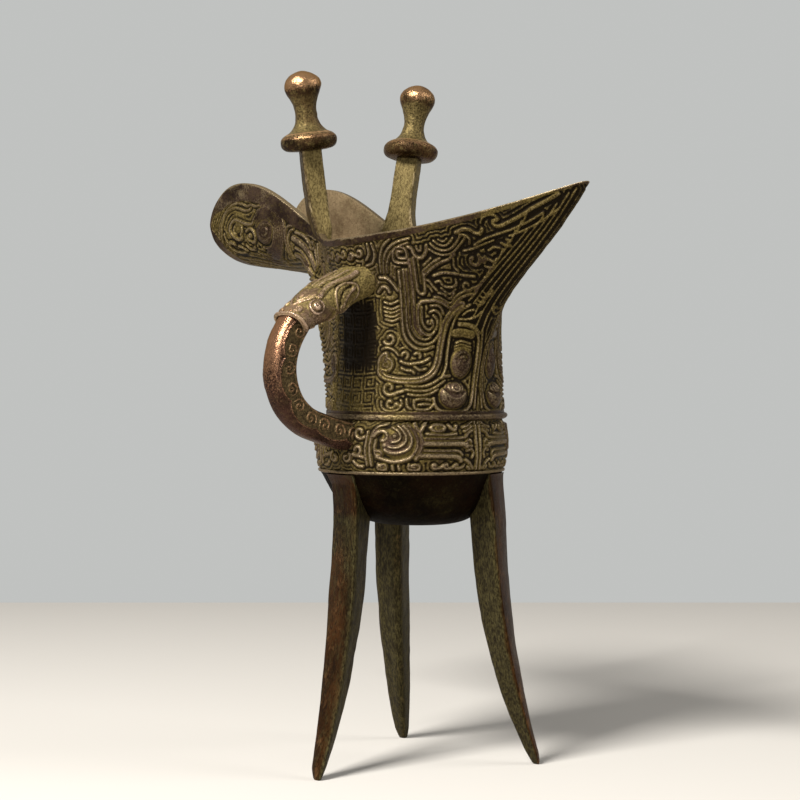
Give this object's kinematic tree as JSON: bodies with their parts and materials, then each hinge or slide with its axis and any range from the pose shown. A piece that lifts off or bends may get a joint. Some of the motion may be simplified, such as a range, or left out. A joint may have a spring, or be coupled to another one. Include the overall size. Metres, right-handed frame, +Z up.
{
  "type": "bronze jue vessel",
  "caption": "Cast bronze ritual wine vessel with a pouring spout, pointed tail, capped posts, loop handle under an animal head, and blade legs.",
  "frame": {"origin": "middle of the whole vessel's footprint, on the surface its feet stand on", "axes": "+Z up, spout towards -X, tail towards +X, handle towards -Y"},
  "size_m": [0.1356, 0.0796, 0.1898],
  "materials": {
    "body_bronze": "patinated",
    "leg_bronze": "patinated",
    "post_bronze": "patinated",
    "worn_bronze": "worn satin"
  },
  "bodies": {
    "root": {"vessel_body": "body_bronze", "leg_handle_side": "leg_bronze", "leg_tail_side": "leg_bronze", "leg_spout_side": "leg_bronze", "handle_loop": "worn_bronze", "handle_head": "worn_bronze", "post_handle_side": "post_bronze", "post_far_side": "post_bronze", "cap_handle_side": "worn_bronze", "cap_far_side": "worn_bronze"}
  },
  "joints": []
}
